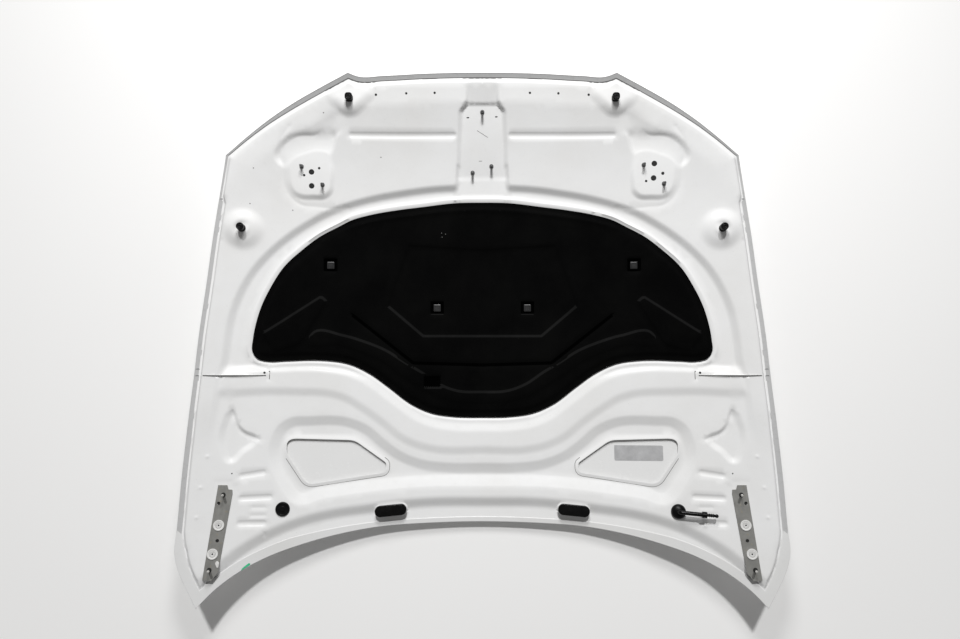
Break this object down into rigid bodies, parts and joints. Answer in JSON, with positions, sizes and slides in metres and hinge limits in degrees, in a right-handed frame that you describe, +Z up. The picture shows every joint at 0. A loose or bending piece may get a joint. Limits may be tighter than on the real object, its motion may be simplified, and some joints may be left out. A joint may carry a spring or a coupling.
{
  "type": "car bonnet",
  "caption": "Vehicle front bonnet lying on its painted outer skin: hemmed skin over a pressed inner panel with insulation liner, buffers, latch studs, hinge plates and washer nozzles",
  "frame": {"origin": "centre of the bounding box's underside, where the outer skin rests on the ground", "axes": "+X across the bonnet, +Y towards its front edge, +Z up out of its underside, as it lies on its outer skin"},
  "size_m": [1.5078, 1.3479, 0.1326],
  "materials": {
    "skin_paint": "gloss",
    "panel_paint": "satin",
    "liner_felt": "matte",
    "clip_plastic": "matte",
    "black_rubber": "matte",
    "black_plastic": "satin",
    "hinge_metal": "satin",
    "disc_pale": "matte",
    "stud_zinc": "satin",
    "reinforcement_steel": "satin"
  },
  "bodies": {
    "root": {"outer_skin": "skin_paint", "inner_panel": "panel_paint", "insulation_liner": "liner_felt", "liner_clip_1": "clip_plastic", "liner_clip_2": "clip_plastic", "liner_clip_3": "clip_plastic", "liner_clip_4": "clip_plastic", "front_buffer_left": "black_rubber", "side_buffer_left": "black_rubber", "hinge_plate_left": "hinge_metal", "hinge_disc_left_1": "disc_pale", "hinge_disc_left_2": "disc_pale", "hinge_stud_left_1": "stud_zinc", "hinge_stud_left_2": "stud_zinc", "latch_stud_left_1": "stud_zinc", "latch_stud_left_2": "stud_zinc", "latch_reinforcement_left": "reinforcement_steel", "washer_nozzle_left": "black_plastic", "front_buffer_right": "black_rubber", "side_buffer_right": "black_rubber", "hinge_plate_right": "hinge_metal", "hinge_disc_right_1": "disc_pale", "hinge_disc_right_2": "disc_pale", "hinge_stud_right_1": "stud_zinc", "hinge_stud_right_2": "stud_zinc", "latch_stud_right_1": "stud_zinc", "latch_stud_right_2": "stud_zinc", "latch_reinforcement_right": "reinforcement_steel", "washer_nozzle_right": "black_plastic", "latch_reinforcement_centre": "reinforcement_steel", "centre_latch_stud_1": "stud_zinc", "centre_latch_stud_2": "stud_zinc", "centre_latch_stud_3": "stud_zinc", "round_plug": "black_rubber", "hose_grommet": "black_rubber", "washer_elbow": "black_plastic", "washer_coupling": "black_plastic"}
  },
  "joints": []
}
